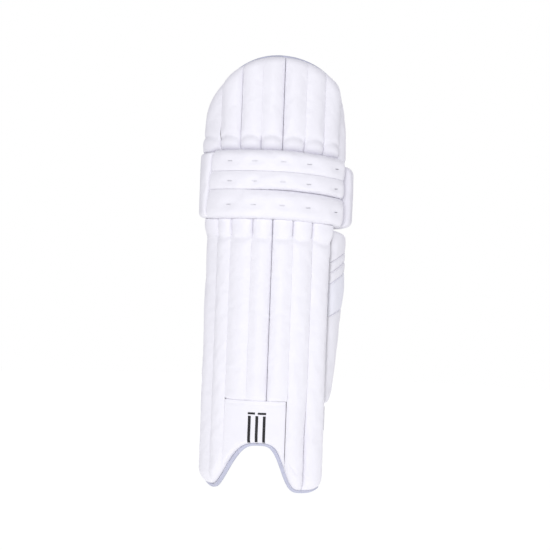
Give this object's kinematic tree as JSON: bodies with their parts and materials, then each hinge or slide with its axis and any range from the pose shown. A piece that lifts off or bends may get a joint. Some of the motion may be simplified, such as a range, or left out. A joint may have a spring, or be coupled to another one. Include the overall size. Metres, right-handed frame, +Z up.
{
  "type": "cricket leg pad",
  "caption": "Quilted white leg guard with curved shin shell, bolstered knee roll, flexing top hat, side wing and hook-and-loop straps.",
  "frame": {"origin": "on the axis of the leg, level with the outer foot of the pad", "axes": "+Z up the leg, the face of the pad looks along -Y, +X towards the outer side of the leg"},
  "size_m": [0.2708, 0.1898, 0.751],
  "materials": {
    "cover_leather": "soft white polyurethane leather, semi-matt",
    "foam": "lightweight foam",
    "backing": "stiff woven backing over foam",
    "lining": "brushed lining cloth",
    "bolster_fabric": "spacer mesh over foam",
    "binding": "turned edge binding, satin",
    "webbing": "woven strap webbing",
    "hook_tape": "hook tape",
    "loop_tape": "loop tape",
    "thread": "sewing thread"
  },
  "bodies": {
    "pad": {"shin_channel_1": "cover_leather", "shin_channel_2": "cover_leather", "shin_channel_3": "cover_leather", "shin_channel_4": "cover_leather", "shin_channel_5": "cover_leather", "shin_channel_6": "cover_leather", "shin_channel_7": "cover_leather", "shin_foam_cores": "foam", "shin_backing": "backing", "shin_lining": "lining", "instep_panel": "cover_leather", "instep_binding": "binding", "inner_edge_binding": "cover_leather", "knee_roll_lower": "cover_leather", "knee_roll_middle": "cover_leather", "knee_roll_upper": "cover_leather", "knee_roll_foam": "foam", "knee_end_inner": "cover_leather", "knee_end_outer": "cover_leather", "knee_tacks": "thread", "shin_bolster_1": "bolster_fabric", "shin_bolster_2": "bolster_fabric", "shin_bolster_3": "bolster_fabric", "knee_bolster_lower": "bolster_fabric", "knee_bolster_upper": "bolster_fabric", "knee_cup_inner": "bolster_fabric", "knee_cup_outer": "bolster_fabric", "ankle_flap": "cover_leather", "knee_loop_patch": "loop_tape", "ankle_loop_patch": "loop_tape", "strap_anchors": "webbing"},
    "top_hat": {"top_channel_1": "cover_leather", "top_channel_2": "cover_leather", "top_channel_3": "cover_leather", "top_channel_4": "cover_leather", "top_channel_5": "cover_leather", "top_channel_6": "cover_leather", "top_channel_7": "cover_leather", "top_side_panel": "cover_leather", "top_foam_cores": "foam", "top_backing": "backing", "top_lining": "lining", "top_binding": "binding", "top_bolster": "bolster_fabric"},
    "side_wing": {"wing_pads": "cover_leather", "wing_lining": "lining", "wing_binding": "cover_leather", "calf_loop_patch": "loop_tape"},
    "ankle_strap": {"ankle_strap": "webbing"},
    "ankle_tab": {"ankle_tab": "webbing", "ankle_hook_patch": "hook_tape"},
    "calf_strap": {"calf_strap": "webbing", "calf_pad": "bolster_fabric"},
    "calf_tab": {"calf_tab": "webbing", "calf_hook_patch": "hook_tape"},
    "knee_strap": {"knee_strap": "webbing"},
    "knee_tab": {"knee_tab": "webbing", "knee_hook_patch": "hook_tape"}
  },
  "joints": [
    {"name": "top_hat_flex", "type": "hinge", "parent": "pad", "child": "top_hat", "pos_m": [0, -0.077, 0.589], "axis": [1, 0, 0], "range_deg": [-8, 15], "stiffness_Nm_per_rad": 5},
    {"name": "wing_wrap", "type": "hinge", "parent": "pad", "child": "side_wing", "pos_m": [0.086, -0.04, 0.3], "axis": [0, 0, 1], "range_deg": [0, 8], "stiffness_Nm_per_rad": 1},
    {"name": "ankle_strap_swing", "type": "hinge", "parent": "pad", "child": "ankle_strap", "pos_m": [-0.0942, 0.0048, 0.12], "axis": [0, 0, 1], "range_deg": [0, 45]},
    {"name": "ankle_tab_peel", "type": "hinge", "parent": "ankle_strap", "child": "ankle_tab", "pos_m": [0.0811, 0.0507, 0.12], "axis": [0, 0, 1], "range_deg": [0, 55]},
    {"name": "calf_strap_swing", "type": "hinge", "parent": "pad", "child": "calf_strap", "pos_m": [-0.0942, 0.008, 0.352], "axis": [0, 0, 1], "range_deg": [0, 45]},
    {"name": "calf_tab_peel", "type": "hinge", "parent": "calf_strap", "child": "calf_tab", "pos_m": [0.0906, 0.0644, 0.352], "axis": [0, 0, 1], "range_deg": [0, 55]},
    {"name": "knee_strap_swing", "type": "hinge", "parent": "pad", "child": "knee_strap", "pos_m": [-0.0942, 0.01, 0.5], "axis": [0, 0, 1], "range_deg": [0, 45]},
    {"name": "knee_tab_peel", "type": "hinge", "parent": "knee_strap", "child": "knee_tab", "pos_m": [0.0978, 0.0656, 0.5], "axis": [0, 0, 1], "range_deg": [0, 55]}
  ]
}
